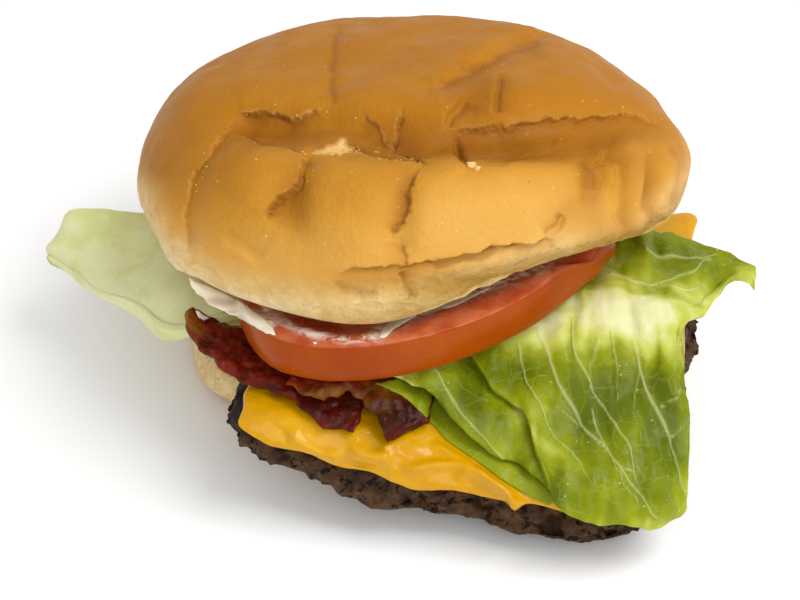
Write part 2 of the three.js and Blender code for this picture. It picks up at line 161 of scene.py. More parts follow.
def only(piece):
    bpy.ops.object.select_all(action="DESELECT")
    piece.select_set(True)
    bpy.context.view_layer.objects.active = piece


def apply(piece, kind, **settings):
    """Adds a modifier and applies it."""
    only(piece)
    modifier = piece.modifiers.new(kind.title(), kind)
    for name, value in settings.items():
        setattr(modifier, name, value)
    bpy.ops.object.modifier_apply(modifier=modifier.name)


def layer(node, name, levels):
    """A smooth copy of a layer's solid: corners merged, triangles paired, then subdivided."""
    piece = bpy.data.objects.new(name, nodes[node].data.copy())
    bpy.context.scene.collection.objects.link(piece)
    only(piece)
    piece.data.materials.clear()
    bpy.ops.mesh.customdata_custom_splitnormals_clear()
    bpy.ops.object.mode_set(mode="EDIT")
    bpy.ops.mesh.select_all(action="SELECT")
    bpy.ops.mesh.remove_doubles(threshold=0.01 * MM)
    bpy.ops.mesh.tris_convert_to_quads(face_threshold=math.radians(70), shape_threshold=math.radians(70))
    bpy.ops.object.mode_set(mode="OBJECT")
    apply(piece, "SUBSURF", levels=levels, render_levels=levels)
    bpy.ops.object.shade_smooth()
    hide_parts(node)
    return piece


def corners(piece):
    """Every vertex's place and outward direction, as two arrays."""
    count = len(piece.data.vertices)
    places = np.zeros(count * 3)
    outward = np.zeros(count * 3)
    piece.data.vertices.foreach_get("co", places)
    piece.data.vertices.foreach_get("normal", outward)
    return places.reshape(-1, 3), outward.reshape(-1, 3)


def move(piece, places):
    piece.data.vertices.foreach_set("co", places.ravel())
    piece.data.update()


def facing(places, outward):
    """How squarely each vertex faces the eye, from 0 to 1."""
    to_eye = EYE - places
    to_eye /= np.linalg.norm(to_eye, axis=1)[:, None]
    return np.clip((to_eye * outward).sum(1), 0, 1)


def choose(kind, elements, wanted):
    """Opens the active piece for editing, with only the wanted corners or faces chosen."""
    bpy.ops.object.mode_set(mode="EDIT")
    bpy.ops.mesh.select_mode(type=kind)
    bpy.ops.mesh.select_all(action="DESELECT")
    bpy.ops.object.mode_set(mode="OBJECT")
    elements.foreach_set("select", wanted)
    bpy.ops.object.mode_set(mode="EDIT")


def refine(piece, chosen, finest=0.0):
    """Cuts each chosen face in four, unless its sides are already finer than this length in metres.

    Chosen is asked with the faces' middles and outward directions."""
    polygons = piece.data.polygons
    area = np.zeros(len(polygons))
    polygons.foreach_get("area", area)
    middle = np.zeros(len(polygons) * 3)
    outward = np.zeros(len(polygons) * 3)
    polygons.foreach_get("center", middle)
    polygons.foreach_get("normal", outward)
    wanted = chosen(middle.reshape(-1, 3), outward.reshape(-1, 3)) & (area > finest**2)
    only(piece)
    choose("FACE", polygons, wanted)
    bpy.ops.mesh.subdivide(number_cuts=1, smoothness=0)
    bpy.ops.object.mode_set(mode="OBJECT")
    bpy.ops.object.shade_smooth()


def paint(piece, name, values):
    """Keeps one number a vertex, for the piece's material."""
    made = piece.data.attributes.new(name, "FLOAT", "POINT")
    made.data.foreach_set("value", np.clip(values, 0, 1).astype(np.float32))


def lumps(places, size, seed=0.0):
    """Smooth unevenness from about -1 to 1, with lumps of this size in metres."""
    shift = Vector((seed, seed * 2, -seed))
    return np.array([noise.noise(Vector(p) / size + shift) for p in places])


def wobble(places, size, first, second):
    """Two uneven numbers for each place, to shake it across and down the picture."""
    return np.stack([lumps(places, size, first), lumps(places, size, second)], 1)


def drift(places, size, seed=0.0):
    """A smooth wandering direction at each place, the same on both faces of a thin sheet."""
    shift = Vector((seed, -seed, seed * 3))
    return np.array([noise.noise_vector(Vector(p) / size + shift) for p in places])


def grains(places, size):
    """Rounded grains of this size: 1 in a grain's middle and 0 between grains."""
    return np.array([1 - min(1, 1.6 * noise.voronoi(Vector(p) / size)[0][0] ** 2) for p in places])


def meeting(carriers):
    """A function that finds where the eye, looking through a picture place, first meets the carriers."""
    graph = bpy.context.evaluated_depsgraph_get()
    trees = [BVHTree.FromObject(piece, graph) for piece in carriers]

    def meet(across, down):
        way = sight(across, down)
        hits = [tree.ray_cast(Vector(EYE), way) for tree in trees]
        hits = [hit for hit in hits if hit[0] is not None]
        return min(hits, key=lambda hit: hit[3])[0] if hits else None

    return meet


def neighbours(grid):
    """The average of each grid value's known neighbours, and where there are any."""
    padded = np.pad(grid, 1, constant_values=np.nan)
    around = np.stack([padded[:-2, 1:-1], padded[2:, 1:-1], padded[1:-1, :-2], padded[1:-1, 2:]])
    known = np.isfinite(around)
    count = known.sum(0)
    return np.where(known, around, 0).sum(0) / np.maximum(count, 1), count > 0


def film(name, outline, thickness, carriers, bridging=0, settle=3):
    """A thin layer with rounded edges, lying on what the eye meets inside an outline of the picture.

    Bridging is how many cells of open gap it spans, from one carrier to the next, and settle is how
    often its depth is evened out."""
    low, high = np.min(outline, 0), np.max(outline, 0)
    across_cuts, down_cuts = (int(math.ceil(span / FILM_CELL)) for span in high - low)
    bpy.ops.object.select_all(action="DESELECT")
    bpy.ops.mesh.primitive_grid_add(x_subdivisions=across_cuts, y_subdivisions=down_cuts, size=1)
    made = bpy.context.object
    made.name = name
    flat, _ = corners(made)
    seen = low + (flat[:, :2] * (1, -1) + 0.5) * (high - low)
    held = inside(seen, outline)
    meet = meeting(carriers)
    met = [meet(*place) if kept_in else None for place, kept_in in zip(seen, held)]
    depth = np.array([(place - Vector(EYE)).length if place else np.nan for place in met])
    columns = len(np.unique(flat[:, 0].round(5)))
    depth = depth.reshape(-1, columns)
    for _ in range(bridging):
        average, found = neighbours(depth)
        depth = np.where(np.isnan(depth) & found, average, depth)
    for _ in range(settle):
        average, found = neighbours(depth)
        depth = np.where(found, (depth + average) / 2, depth)
    depth = depth.ravel()
    held &= np.isfinite(depth)
    from_edge, _, _ = beside(seen, outline + outline[:1])
    rounding = 1.6 * thickness / MM * PIXELS_PER_MM
    depth -= thickness * np.sqrt(1 - (1 - np.clip(from_edge / rounding, 0, 1)) ** 2) - FILM_SUNK
    ways = np.array([sight(*place) for place in seen])
    places = EYE + ways * np.where(held, depth, 0)[:, None]
    move(made, places)
    choose("VERT", made.data.vertices, ~held)
    bpy.ops.mesh.delete(type="VERT")
    bpy.ops.mesh.select_all(action="SELECT")
    bpy.ops.mesh.vertices_smooth(factor=0.5, repeat=3)
    bpy.ops.object.mode_set(mode="OBJECT")
    apply(made, "SOLIDIFY", thickness=FILM_BACKING, offset=-1)
    bpy.ops.object.shade_smooth()
    return made


def crumbs(name, places):
    """Small uneven bits, joined as one piece. Each place is a point and a size in metres."""
    bpy.ops.object.select_all(action="DESELECT")
    bits = []
    for place, size in places:
        bpy.ops.mesh.primitive_ico_sphere_add(subdivisions=2, radius=size, location=place)
        bit = bpy.context.object
        bpy.ops.object.transform_apply(location=True, rotation=False, scale=False)
        spots, outward = corners(bit)
        move(bit, spots + size * 0.7 * drift(spots, size * 1.1, size / MM))
        bits.append(bit)
    for bit in bits:
        bit.select_set(True)
    bpy.ops.object.join()
    made = bpy.context.object
    made.name = name
    bpy.ops.object.transform_apply(location=True)
    bpy.ops.object.shade_smooth()
    return made


# Materials

def tone(code):
    """A web colour as linear light."""
    parts = [int(code[i : i + 2], 16) / 255 for i in (1, 3, 5)]
    return tuple(c / 12.92 if c < 0.04045 else ((c + 0.055) / 1.055) ** 2.4 for c in parts) + (1,)


def give(tree, socket, value):
    """Sets a socket to a plain value, or links another node's output to it."""
    if isinstance(value, bpy.types.NodeSocket):
        tree.links.new(value, socket)
    else:
        socket.default_value = value


def put(tree, kind, inputs, **settings):
    """Adds a node. Each input is a plain value or another node's output."""
    made = tree.nodes.new(kind)
    for name, value in settings.items():
        setattr(made, name, value)
    for name, value in inputs.items():
        give(tree, made.inputs[name], value)
    return made


def kept(tree, name):
    """The painted number of this name."""
    return put(tree, "ShaderNodeAttribute", {}, attribute_name=name).outputs["Fac"]


def place_of(tree):
    return put(tree, "ShaderNodeTexCoord", {}).outputs["Object"]


def mottle(tree, scale, detail=4.0, rough=0.55, bent=0.0):
    settings = {"Vector": place_of(tree), "Scale": scale, "Detail": detail, "Roughness": rough}
    settings["Distortion"] = bent
    return put(tree, "ShaderNodeTexNoise", settings).outputs["Fac"]


def cells(tree, scale, feature="F1", vector=None):
    settings = {"Vector": vector or place_of(tree), "Scale": scale}
    return put(tree, "ShaderNodeTexVoronoi", settings, feature=feature).outputs["Distance"]


def ranged(tree, value, low, high, to_low=0.0, to_high=1.0):
    settings = {"Value": value, "From Min": low, "From Max": high, "To Min": to_low, "To Max": to_high}
    return put(tree, "ShaderNodeMapRange", settings, interpolation_type="SMOOTHSTEP").outputs["Result"]


def sums(tree, operation, first, second):
    made = tree.nodes.new("ShaderNodeMath")
    made.operation = operation
    for socket, value in zip(made.inputs, (first, second)):
        give(tree, socket, value)
    return made.outputs[0]


def plus(tree, first, second):
    return sums(tree, "ADD", first, second)


def times(tree, first, second):
    return sums(tree, "MULTIPLY", first, second)


def ramp_of(tree, value, stops):
    """A colour that runs through these stops, each a place from 0 to 1 and a web colour."""
    ramp = tree.nodes.new("ShaderNodeValToRGB")
    tree.links.new(value, ramp.inputs["Fac"])
    elements = ramp.color_ramp.elements
    elements.remove(elements[1])
    elements[0].color = tone(stops[0][1])
    for position, code in stops[1:]:
        elements.new(position).color = tone(code)
    return ramp.outputs["Color"]


def blend(tree, share, first, second, way="MIX"):
    made = put(tree, "ShaderNodeMix", {}, data_type="RGBA", blend_type=way)
    for number, value in ((0, share), (6, first), (7, second)):
        give(tree, made.inputs[number], value)
    return made.outputs[2]


def bumped(tree, height, depth, below=None):
    """A bump of this depth in metres, over an earlier bump if there is one."""
    made = put(tree, "ShaderNodeBump", {"Height": height, "Strength": 1.0, "Distance": depth})
    if below:
        tree.links.new(below, made.inputs["Normal"])
    return made.outputs["Normal"]


def finish_of(name, roughness=0.5, **sockets):
    """A new material and its shader, with the plain values set on the shader's own sockets."""
    material = bpy.data.materials.new(name)
    material.use_nodes = True
    shader = material.node_tree.nodes["Principled BSDF"]
    shader.inputs["Roughness"].default_value = roughness
    for socket, value in sockets.items():
        shader.inputs[socket.replace("_", " ")].default_value = value
    return material, material.node_tree, shader


def feed(shader, name, value):
    """Links a value to the shader's socket of this name."""
    shader.id_data.links.new(value, shader.inputs[name])


def group_of(name, inputs, outputs):
    """An empty node group with named sockets."""
    group = bpy.data.node_groups.new(name, "ShaderNodeTree")
    for label, kind, value in inputs:
        made = group.interface.new_socket(label, in_out="INPUT", socket_type=kind)
        if value is not None:
            made.default_value = value
    for label, kind in outputs:
        group.interface.new_socket(label, in_out="OUTPUT", socket_type=kind)
    entry = group.nodes.new("NodeGroupInput")
    return group, entry.outputs, group.nodes.new("NodeGroupOutput").inputs


def use(tree, group, **inputs):
    made = tree.nodes.new("ShaderNodeGroup")
    made.node_tree = group
    for name, value in inputs.items():
        socket = made.inputs[name.replace("_", " ")]
        give(tree, socket, value)
    return made.outputs


def bread_crumb_group():
    """The soft inside of the buns: pale, mottled, with small round pores."""
    group, entry, out = group_of(
        "Bread Crumb",
        [("Light", "NodeSocketColor", tone("#f3dcae")), ("Dark", "NodeSocketColor", tone("#d8b276"))],
        [("Color", "NodeSocketColor"), ("Height", "NodeSocketFloat")],
    )
    patches = mottle(group, 260, 5, 0.6)
    pores = ranged(group, cells(group, 900), 0.1, 0.45)
    shade = times(group, ranged(group, patches, 0.35, 0.65), plus(group, times(group, pores, 0.5), 0.5))
    group.links.new(blend(group, shade, entry["Dark"], entry["Light"]), out["Color"])
    group.links.new(plus(group, pores, patches), out["Height"])
    return group


def leaf_group():
    """Lettuce: a fine net of pale veins over a mottled blade, with painted glints. Green is the painted share
    of green.
    """
    group, entry, out = group_of(
        "Lettuce Blade",
        [
            ("Green", "NodeSocketFloat", 0.5),
            ("Vein", "NodeSocketFloat", 0.0),
            ("Net Scale", "NodeSocketFloat", 230.0),
        ],
        [("Color", "NodeSocketColor"), ("Height", "NodeSocketFloat"), ("Gloss", "NodeSocketFloat")],
    )
    wander = put(group, "ShaderNodeTexNoise", {"Vector": place_of(group), "Scale": 90.0, "Detail": 3.0})
    bent = put(
        group, "ShaderNodeVectorMath", {0: wander.outputs["Color"], 1: (0.010,) * 3}, operation="MULTIPLY"
    )
    moved = put(group, "ShaderNodeVectorMath", {0: place_of(group), 1: bent.outputs[0]}, operation="ADD")
    net = put(
        group,
        "ShaderNodeTexVoronoi",
        {"Vector": moved.outputs[0], "Scale": entry["Net Scale"]},
        feature="DISTANCE_TO_EDGE",
    ).outputs["Distance"]
    thread = ranged(group, net, 0.0, 0.045, 1.0, 0.0)
    patches = mottle(group, 130, 5, 0.6, 0.4)
    share = plus(group, entry["Green"], ranged(group, patches, 0.3, 0.7, -0.1, 0.1))
    stops = [(0.0, "#d4d5a2"), (0.25, "#b8bd54"), (0.5, "#889012"), (0.75, "#6c7806"), (1.0, "#525f02")]
    blade = ramp_of(group, share, stops)
    thread = times(group, thread, ranged(group, entry["Green"], 0.3, 0.7))
    netted = blend(group, times(group, thread, 0.09), blade, tone("#c8d070"))
    veined = blend(group, times(group, entry["Vein"], 0.5), netted, tone("#c4cb86"))
    # Painted glints: small scattered near-white dots that stand in for highlights on the moist blade.
    wet_bumps_and_painted_glints = times(group, ranged(group, cells(group, 560), 0.04, 0.15, 0.35, 0.0),
               ranged(group, mottle(group, 170, 3), 0.5, 0.58))
    group.links.new(blend(group, wet_bumps_and_painted_glints, veined, tone("#f0f2dc")), out["Color"])
    raised = plus(group, times(group, thread, 0.12), times(group, entry["Vein"], 0.4))
    group.links.new(plus(group, raised, times(group, patches, 0.35)), out["Height"])
    group.links.new(ranged(group, mottle(group, 300, 2), 0.35, 0.65, 0.2, 0.42), out["Gloss"])
    return group


bread_crumb = bread_crumb_group()
lettuce_blade = leaf_group()


def wear(piece, material):
    """Gives a piece its finish and its body."""
    piece.data.materials.clear()
    piece.data.materials.append(material)
    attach(piece, "root")
    return piece


# Top bun

def crust_line(line, depth, width, step, reach, crumb=0.0):
    return dict(line=line, depth=depth, width=width, step=step, reach=reach, crumb=crumb)


# Lines of the squashed crust in picture pixels. Depth, width, step and reach are in millimetres: the
# step raises the right-hand side of the line's travel and fades over its reach. Crumb is how pale its
# torn edge is. The lower side of each step gets painted shade, and narrow cracks are painted dark as
# the shade inside them.
CRUST_LINES = [
    crust_line([(238, 114), (231, 128), (217, 145), (206, 166), (192, 190), (187, 211),
                (186, 237), (187, 255)], 0.2, 0.24, 0.6, 5, 0.1),
    crust_line([(238, 114), (257, 112), (272, 113), (288, 118), (305, 113), (325, 111)],
               0.5, 0.28, -0.8, 6, 0.22),
    crust_line([(338, 26), (334, 48), (332, 74), (331, 98), (327, 111)], 0.35, 0.5, 0.5, 6),
    crust_line([(231, 128), (268, 142), (290, 148), (303, 153)], 0.3, 0.26, 0.5, 4, 0.2),
    crust_line([(303, 153), (301, 174), (294, 185), (279, 196), (272, 207), (262, 224)],
               0.4, 0.32, 1.5, 7, 0.05),
    crust_line([(303, 153), (331, 151), (355, 147), (375, 153), (394, 157), (412, 161), (421, 165)],
               0.35, 0.28, 0.8, 5, 0.3),
    crust_line([(360, 117), (379, 128), (392, 139)], 0.25, 0.3, -0.4, 3, 0.1),
    crust_line([(401, 109), (399, 122), (392, 146)], 0.35, 0.3, 0.5, 4, 0.2),
    crust_line([(392, 144), (404, 146), (416, 148), (419, 161), (423, 165)], 0.7, 0.35, 0.4, 3, 0.25),
    crust_line([(420, 166), (414, 185), (407, 207), (397, 229), (392, 240)], 0.35, 0.28, -1.0, 7, 0.12),
    crust_line([(399, 240), (405, 259), (407, 268)], 0.4, 0.35, -0.5, 3, 0.1),
    crust_line([(438, 133), (471, 129), (512, 126), (545, 121), (582, 118), (627, 115),
                (653, 118), (671, 129)], 0.3, 0.3, -0.7, 7, 0.15),
    crust_line([(453, 137), (460, 152), (471, 163)], 1.2, 0.7, 0.8, 5),
    crust_line([(471, 163), (505, 159), (527, 142), (564, 137)], 0.4, 1.1, 0.5, 5),
    crust_line([(427, 89), (453, 74), (479, 59), (512, 44), (549, 35)], 0.7, 0.9, -1.5, 9),
    crust_line([(499, 72), (497, 96), (495, 115)], 0.5, 0.6, 1.0, 5),
    crust_line([(468, 92), (453, 111), (446, 129)], 0.6, 0.8, 1.2, 5),
    crust_line([(327, 276), (349, 269), (379, 267), (405, 268), (427, 261), (453, 259),
                (490, 248), (523, 242), (542, 240), (568, 234)], 0.35, 0.3, -1.3, 5),
    crust_line([(612, 141), (601, 159), (616, 170), (614, 192), (616, 215), (625, 237)], 0.6, 1.0, 1.4, 4),
    crust_line([(667, 141), (675, 166), (667, 207)], 0.5, 1.0, 0.8, 4),
    crust_line([(398, 275), (405, 290), (414, 303)], 0.4, 0.4, 0.8, 3),
    crust_line([(330, 277), (338, 288), (356, 298), (380, 300)], 0.3, 0.5, 0.6, 4),
    crust_line([(568, 214), (560, 226), (545, 238)], 0.7, 0.7, -1.0, 5),
    crust_line([(430, 268), (470, 262), (500, 252)], 0.3, 0.5, 0.5, 4),
    crust_line([(590, 150), (600, 165), (604, 190)], 0.4, 1.2, -0.8, 5),
    crust_line([(640, 150), (648, 180), (640, 215)], 0.5, 1.0, 0.9, 5),
    crust_line([(220, 232), (240, 250), (262, 262)], 0.2, 1.2, 0.6, 6),
]
# Broad forms of the squashed dome in picture pixels: across, down, half width, half height, and how far
# they stand out in millimetres. Dents also get painted shade, more for deeper ones.
CRUST_FORMS = [
    (285, 132, 45, 15, -1.3),
    (405, 138, 50, 20, -1.7),
    (520, 146, 80, 14, -2.0),
    (610, 133, 40, 10, -1.0),
    (245, 175, 35, 40, 0.6),
    (292, 205, 18, 30, -1.5),
    (355, 215, 40, 32, 1.1),
    (404, 215, 12, 34, -1.0),
    (490, 203, 62, 26, 1.4),
    (592, 185, 12, 35, -1.7),
    (628, 180, 12, 40, 1.7),
    (655, 195, 9, 34, -1.5),
    (673, 180, 7, 30, 0.8),
    (475, 100, 20, 24, -1.0),
    (520, 90, 26, 22, 0.7),
    (570, 215, 14, 20, -0.9),
    (440, 287, 90, 12, -1.0),
    (168, 262, 26, 18, 1.6),
]
CROWN_PULLS = [
    (200, 95, 45, 45, -0.9, 0.8),
    (300, 35, 70, 30, -0.3, 0.8),
    (540, 20, 50, 25, 0.0, 0.6),
    (625, 75, 34, 30, -0.9, -1.0),
    (665, 115, 24, 24, -0.8, -0.6),
    (690, 150, 14, 20, 0.5, 0.0),
    (370, 322, 70, 14, 0.0, -0.9),
    (655, 243, 14, 12, 0.3, -0.8),
]
# Where the crust is torn open, in picture pixels, and how deep in millimetres.
TEAR = [(309, 151), (323, 145), (335, 139), (342, 132), (348, 140), (358, 145), (346, 151), (331, 153),
        (316, 154)]
TEAR_DEPTH = 0.8
CROWN_RIM = [(137, 200), (150, 240), (185, 280), (240, 300), (290, 312), (335, 325), (385, 322), (440, 300),
             (490, 283), (560, 262), (620, 250), (652, 247), (690, 200)]
# The top bun's widest ring: its middle, its radius, and its slope to the right and to the back.
CROWN_MIDDLE = np.array((-4.6, -8.9, 43.5)) * MM
CROWN_RADIUS = 52 * MM
CROWN_RISE = np.array((0.041, -0.2))
# The squashed front, in picture pixels, and how fine its mesh is cut. Near a crease it is cut again: how
# near in pixels, and how fine.
SQUASHED_LEFT = 175
SQUASHED_TOP = 60
SQUASHED_LOW = 345
SQUASHED_FINEST = 0.8 * MM
CREASE_CUTS = [(9, 0.42 * MM), (4, 0.26 * MM)]
# How squarely a face has to be turned to the eye to be cut, and the width in millimetres from which a
# crease is a soft fold and no crack.
TURNED_TO_EYE = 0.08
FOLD_WIDTH = 0.5


def above_cut(places):
    """Height of each place over the plane through the top bun's widest ring."""
    return places[:, 2] - CROWN_MIDDLE[2] - (places[:, :2] - CROWN_MIDDLE[:2]) @ CROWN_RISE


def raggedly(seen, places, coarse, fine):
    """The picture places, shaken a little so that what is drawn on them is torn and not ruled."""
    wide = wobble(places, 4 * MM, 3, 8)
    close = wobble(places, 0.9 * MM, 1, 5)
    return seen + coarse * wide + fine * close


def shape_crown():
    crown = layer("crown", "top_bun", 2)

    def squashed(middle, outward):
        seen = picture_places(middle)
        near = (seen[:, 0] > SQUASHED_LEFT) & (seen[:, 1] > SQUASHED_TOP) & (seen[:, 1] < SQUASHED_LOW)
        return near & (facing(middle, outward) > TURNED_TO_EYE)

    def close_to_creases(reach):
        def chosen(middle, outward):
            seen = picture_places(middle)
            nearest = np.min([beside(seen, crease["line"])[0] for crease in CRUST_LINES], axis=0)
            return (nearest < reach) & (facing(middle, outward) > TURNED_TO_EYE)

        return chosen

    refine(crown, squashed, SQUASHED_FINEST)
    for reach, finest in CREASE_CUTS:
        refine(crown, close_to_creases(reach), finest)
    places, outward = corners(crown)
    front = smooth(facing(places, outward) / 0.15)
    seen = picture_places(places)
    ragged = raggedly(seen, places, 5.0, 2.2)
    calm = raggedly(seen, places, 4.0, 0.0)
    relief = np.zeros(len(places))
    crumb = np.zeros(len(places))
    crack = np.zeros(len(places))
    shaded = np.zeros(len(places))
    torn_width = np.clip(1 + 0.9 * lumps(places, 2.3 * MM, 16), 0.35, 1.6)
    for crease in CRUST_LINES:
        cracked = crease["width"] < FOLD_WIDTH
        wavering = torn_width if cracked else 1.0
        distance, side, share = beside(ragged if cracked else calm, crease["line"])
        distance = distance / PIXELS_PER_MM
        ends = fading(share, 0.15)
        lower = side * np.sign(crease["step"]) < 0
        groove = bell(distance, crease["width"] * wavering) * (0.25 + 0.75 * ends) * wavering
        sharp = max(0.3, 1.3 * crease["width"] - 0.1)
        shoulder = np.exp(-distance / crease["reach"]) * side * smooth(distance / sharp) * ends
        relief += (0.5 * crease["step"] * shoulder - crease["depth"] * groove) * front
        narrow = smooth((0.8 - crease["width"]) / 0.4)
        # Where narrow cracks are painted dark, as the shade inside them.
        crack = np.maximum(crack, groove * min(1, 1.6 * crease["depth"]) * front * ends * narrow)
        edge = bell(distance - 0.3, 0.22) * ~lower
        crumb = np.maximum(crumb, edge * crease["crumb"] * ends * front)
        # Painted shade on the lower side of each step, fading away from the line.
        below = smooth(distance / sharp) * np.exp(-distance / 1.5) * ends * lower * front
        shaded += 0.9 * min(1, abs(crease["step"])) * below
    crumb *= smooth((lumps(places, 1.3 * MM, 12) + 0.35) / 0.4)
    for across, down, wide, high, out in CRUST_FORMS:
        relief += out * spot(seen, across, down, wide, high) * front
        # Painted shade in each dent.
        shaded += max(0, -0.4 * out) * spot(seen, across, down, wide, high) * front
    torn = inside(raggedly(seen, places, 2.0, 3.0), TEAR) & (front > 0.5)
    relief[torn] -= TEAR_DEPTH
    crumb[torn] = 1
    crack[torn] = 0
    up = above_cut(places) / MM
    outer = smooth((up + 7) / 8)
    swell = 0.5 * lumps(places, 15 * MM, 2) + 0.28 * lumps(places, 6 * MM, 6)
    low_band = smooth((3 - up) / 8) * smooth((up + 9) / 3)
    wrinkles = 0.9 * np.abs(lumps(places * (1, 1, 2.2), 3.4 * MM, 4)) * low_band
    relief += swell * outer - wrinkles + 0.07 * lumps(places, 1.8 * MM, 7) * outer
    frayed = 1.5 * spot(seen, 635, 247, 30, 9) * front + 0.9 * spot(seen, 168, 268, 40, 12) * front
    fray = 1.6 * drift(places, 2.4 * MM, 4) * frayed[:, None]
    move(crown, places + outward * (relief * MM)[:, None] + fray * MM + pulled(seen, CROWN_PULLS))

    toward_front = smooth((-(places[:, 1] - CROWN_MIDDLE[1]) / CROWN_RADIUS + 0.1) / 1.1)
    toast = smooth((up + 3) / 22) * (1 - 0.6 * toward_front) + 0.28 * smooth((up + 6) / 8)
    toast += 0.1 * lumps(places, 14 * MM, 9)
    # Browner on the left and paler on the front roll: partly the crust's own toast, partly painted shade on
    # the left and painted light on the roll.
    toast += 0.3 * spot(seen, 175, 130, 70, 100) * front - 0.18 * spot(seen, 490, 210, 120, 40) * front
    rim, _, _ = beside(seen, CROWN_RIM)
    pale = smooth((0 - up) / 9)
    pale = np.maximum(pale, smooth((38 - rim) / 38) * front * 0.75)
    pale = np.maximum(pale, spot(seen, 155, 265, 34, 22) * front)
    paint(crown, "toast", toast)
    paint(crown, "pale", pale * (1 - 0.3 * np.abs(lumps(places, 5 * MM, 11))))
    paint(crown, "crumb", crumb)
    paint(crown, "crack", crack)
    rightwards = smooth((seen[:, 0] - 240) / 160)
    # Painted shade under the rim, stronger to the right, and a painted shadow at the rim's lower right
    # corner.
    rim_shade = smooth((26 - rim) / 24) * front * (0.05 + 0.65 * rightwards)
    shaded += rim_shade + 0.95 * spot(seen, 640, 236, 48, 16) * front
    paint(crown, "shaded", shaded)
    whitened = np.maximum(0.6 * spot(seen, 160, 262, 26, 24), 0.6 * bell(rim, 5) * (1 - rightwards))
    paint(crown, "whitened", whitened * front * smooth((lumps(places, 2.5 * MM, 14) + 0.5) / 0.7))
    return crown


def crust_finish():
    """Soft baked crust: golden in front, browner behind, pale along the cut, with fine specks and painted
    shade.
    """
    material, tree, shader = finish_of("Soft Bun Crust", 0.5, Specular_IOR_Level=0.12)
    patches = mottle(tree, 70, 5, 0.6)
    toast = plus(tree, kept(tree, "toast"), ranged(tree, patches, 0.3, 0.7, -0.07, 0.07))
    stops = [(0.0, "#cfa759"), (0.3, "#cd9844"), (0.6, "#bf862b"), (1.0, "#a66a0e")]
    specks = ranged(tree, cells(tree, 620), 0.06, 0.2, 0.35, 0.0)
    scattered = times(tree, specks, ranged(tree, mottle(tree, 300), 0.5, 0.6))
    browned = blend(tree, scattered, ramp_of(tree, toast, stops), tone("#84501c"))
    dust = times(tree, ranged(tree, cells(tree, 480), 0.05, 0.14, 0.5, 0.0),
                ranged(tree, mottle(tree, 210, 3), 0.52, 0.6))
    speckled = blend(tree, dust, browned, tone("#f0cf8c"))
    inner = use(tree, bread_crumb, Light=tone("#e6cf9a"), Dark=tone("#d6b577"))
    rimmed = blend(tree, kept(tree, "pale"), speckled, inner["Color"])
    creamed = blend(tree, kept(tree, "whitened"), rimmed, tone("#e8dcc0"))
    opened = blend(tree, kept(tree, "crumb"), creamed, tone("#e9c483"))
    # Painted shade: the crust is multiplied darker where the shaded number is painted.
    crust_with_painted_shade = blend(tree, kept(tree, "shaded"), opened, tone("#c8b684"), "MULTIPLY")
    # Painted shade inside the narrow cracks.
    dark = times(tree, kept(tree, "crack"), 0.68)
    feed(shader, "Base Color", blend(tree, dark, crust_with_painted_shade, tone("#6b3c10")))
    grain = plus(tree, mottle(tree, 700, 5, 0.65), times(tree, cells(tree, 1100), 0.6))
    skin = bumped(tree, grain, 0.00016)
    skinned = plus(tree, times(tree, inner["Height"], 0.08), mottle(tree, 260, 3, 0.5, 0.8))
    inner_height = times(tree, skinned, ranged(tree, kept(tree, "pale"), 0.0, 0.5, 0.08, 1.0))
    feed(shader, "Normal", bumped(tree, inner_height, 0.0009, skin))
    feed(shader, "Roughness", ranged(tree, mottle(tree, 160, 3), 0.3, 0.7, 0.42, 0.58))
    return material


top_bun = shape_crown()
wear(top_bun, crust_finish())


# Bottom bun

def shape_heel():
    heel = layer("heel", "bottom_bun", 3)
    places, outward = corners(heel)
    height = places[:, 2] / MM
    side = smooth(height / 1.5) * (1 - np.clip(outward[:, 2], 0, 1))
    relief = (0.35 * lumps(places, 7 * MM, 1) + 0.12 * lumps(places, 1.6 * MM, 2)) * side
    pressed = 0.7 * lumps(places, 22 * MM, 7) * smooth(height / 6)
    seen = picture_places(places)
    places = places + outward * (relief * MM)[:, None] + pulled(seen, [(212, 380, 22, 34, -1.9, -0.5)])
    places[:, 2] += pressed * MM
    move(heel, places)
    crust = smooth((4.6 - height + 1.2 * lumps(places, 9 * MM, 5)) / 4.4)
    paint(heel, "crust", crust)
    upward = np.clip(outward[:, 2], 0, 1) * smooth((height - 5) / 2)
    griddled = 0.45 + 0.7 * lumps(places, 8 * MM, 3) + 0.5 * lumps(places, 2.5 * MM, 4)
    paint(heel, "toasted", upward * griddled)
    return heel


def heel_finish():
    """Pale bread side with a tan crust line at the foot."""
    material, tree, shader = finish_of("Bottom Bun Bread", 0.7, Specular_IOR_Level=0.25)
    inner = use(tree, bread_crumb, Light=tone("#e2cc98"), Dark=tone("#d4b57c"))
    crust = blend(tree, ranged(tree, mottle(tree, 150), 0.3, 0.7), tone("#b27a3a"), tone("#c99554"))
    griddled = blend(tree, kept(tree, "toasted"), inner["Color"], tone("#b88646"))
    feed(shader, "Base Color", blend(tree, kept(tree, "crust"), griddled, crust))
    feed(shader, "Normal", bumped(tree, inner["Height"], 0.0002))
    feed(shader, "Roughness", ranged(tree, mottle(tree, 240), 0.3, 0.7, 0.6, 0.8))
    return material


wear(shape_heel(), heel_finish())


# Beef patty

PATTY_LOWEST = 1.2 * MM
PATTY_PULLS = [
    (348, 494, 60, 22, 0.0, -4.8),
    (570, 530, 75, 14, 0.0, -2.0),
    (234, 432, 14, 12, 1.1, 0.3),
    (250, 450, 14, 10, 0.5, 0.9),
    (684, 204, 10, 8, 0.6, 0.6),
    (690, 348, 10, 24, 0.9, 0.0),
]


